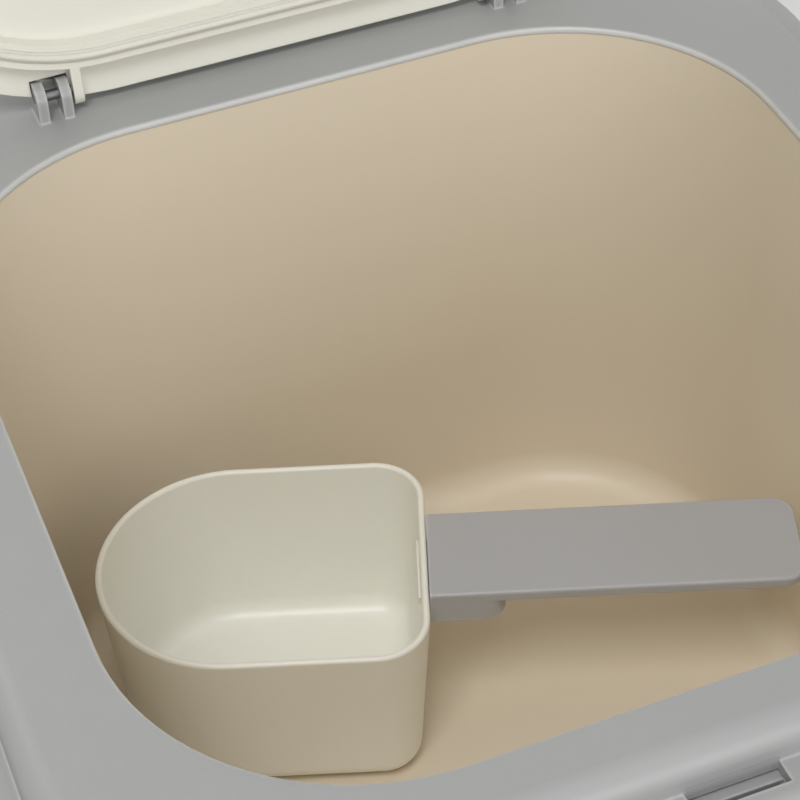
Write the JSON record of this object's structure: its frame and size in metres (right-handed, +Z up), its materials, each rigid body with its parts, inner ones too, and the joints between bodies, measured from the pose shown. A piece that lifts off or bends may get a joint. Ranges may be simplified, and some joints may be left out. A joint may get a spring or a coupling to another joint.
{
  "type": "rice bin with flip lid",
  "caption": "Squat rounded rice bin with an inner tub, a wide smooth top frame, a flip lid on two hinges, a push-button latch and a measuring scoop.",
  "frame": {"origin": "on the supporting surface, under the centre of the opening", "axes": "+Z up, -Y front with the push button, +Y hinge side, +X right along the hinge axis; the lid is open at rest"},
  "size_m": [0.2328, 0.2708, 0.3737],
  "materials": {
    "frame_plastic": "fine satin moulded plastic, pale grey",
    "cream_plastic": "smooth moulded plastic, warm off-white",
    "scoop_plastic": "slightly glossy moulded plastic, warm off-white",
    "handle_plastic": "satin moulded plastic, grey",
    "seal_rubber": "soft translucent silicone",
    "foot_rubber": "matt black rubber",
    "steel": "plain zinc-plated steel"
  },
  "bodies": {
    "bin": {"outer_body": "cream_plastic", "body_screws": "steel", "tub": "cream_plastic", "top_frame": "frame_plastic", "frame_screws": "steel", "foot_front_left": "foot_rubber", "foot_front_right": "foot_rubber", "foot_back_left": "foot_rubber", "foot_back_right": "foot_rubber", "hinge_pin_left": "steel", "hinge_pin_right": "steel", "latch_guide": "frame_plastic", "latch_screws": "steel", "latch_spring_left": "steel", "latch_spring_right": "steel"},
    "lid": {"lid_panel": "cream_plastic", "lid_cover": "cream_plastic", "lid_seal": "seal_rubber"},
    "button": {"latch_button": "frame_plastic"},
    "scoop": {"scoop_cup": "scoop_plastic", "scoop_handle": "handle_plastic"}
  },
  "joints": [
    {"name": "lid_hinge", "type": "hinge", "parent": "bin", "child": "lid", "pos_m": [0, 0.1066, 0.1554], "axis": [1, 0, 0], "range_deg": [0, 100]},
    {"name": "button_press", "type": "slide", "parent": "bin", "child": "button", "axis": [0, 1, 0], "range_m": [0, 0.0026], "stiffness_N_per_m": 600, "springref_m": -0.002, "deforming": ["latch_spring_left", "latch_spring_right"]},
    {"name": "scoop_lift", "type": "slide", "parent": "bin", "child": "scoop", "axis": [0, 0, 1], "range_m": [0, 0.18]}
  ]
}
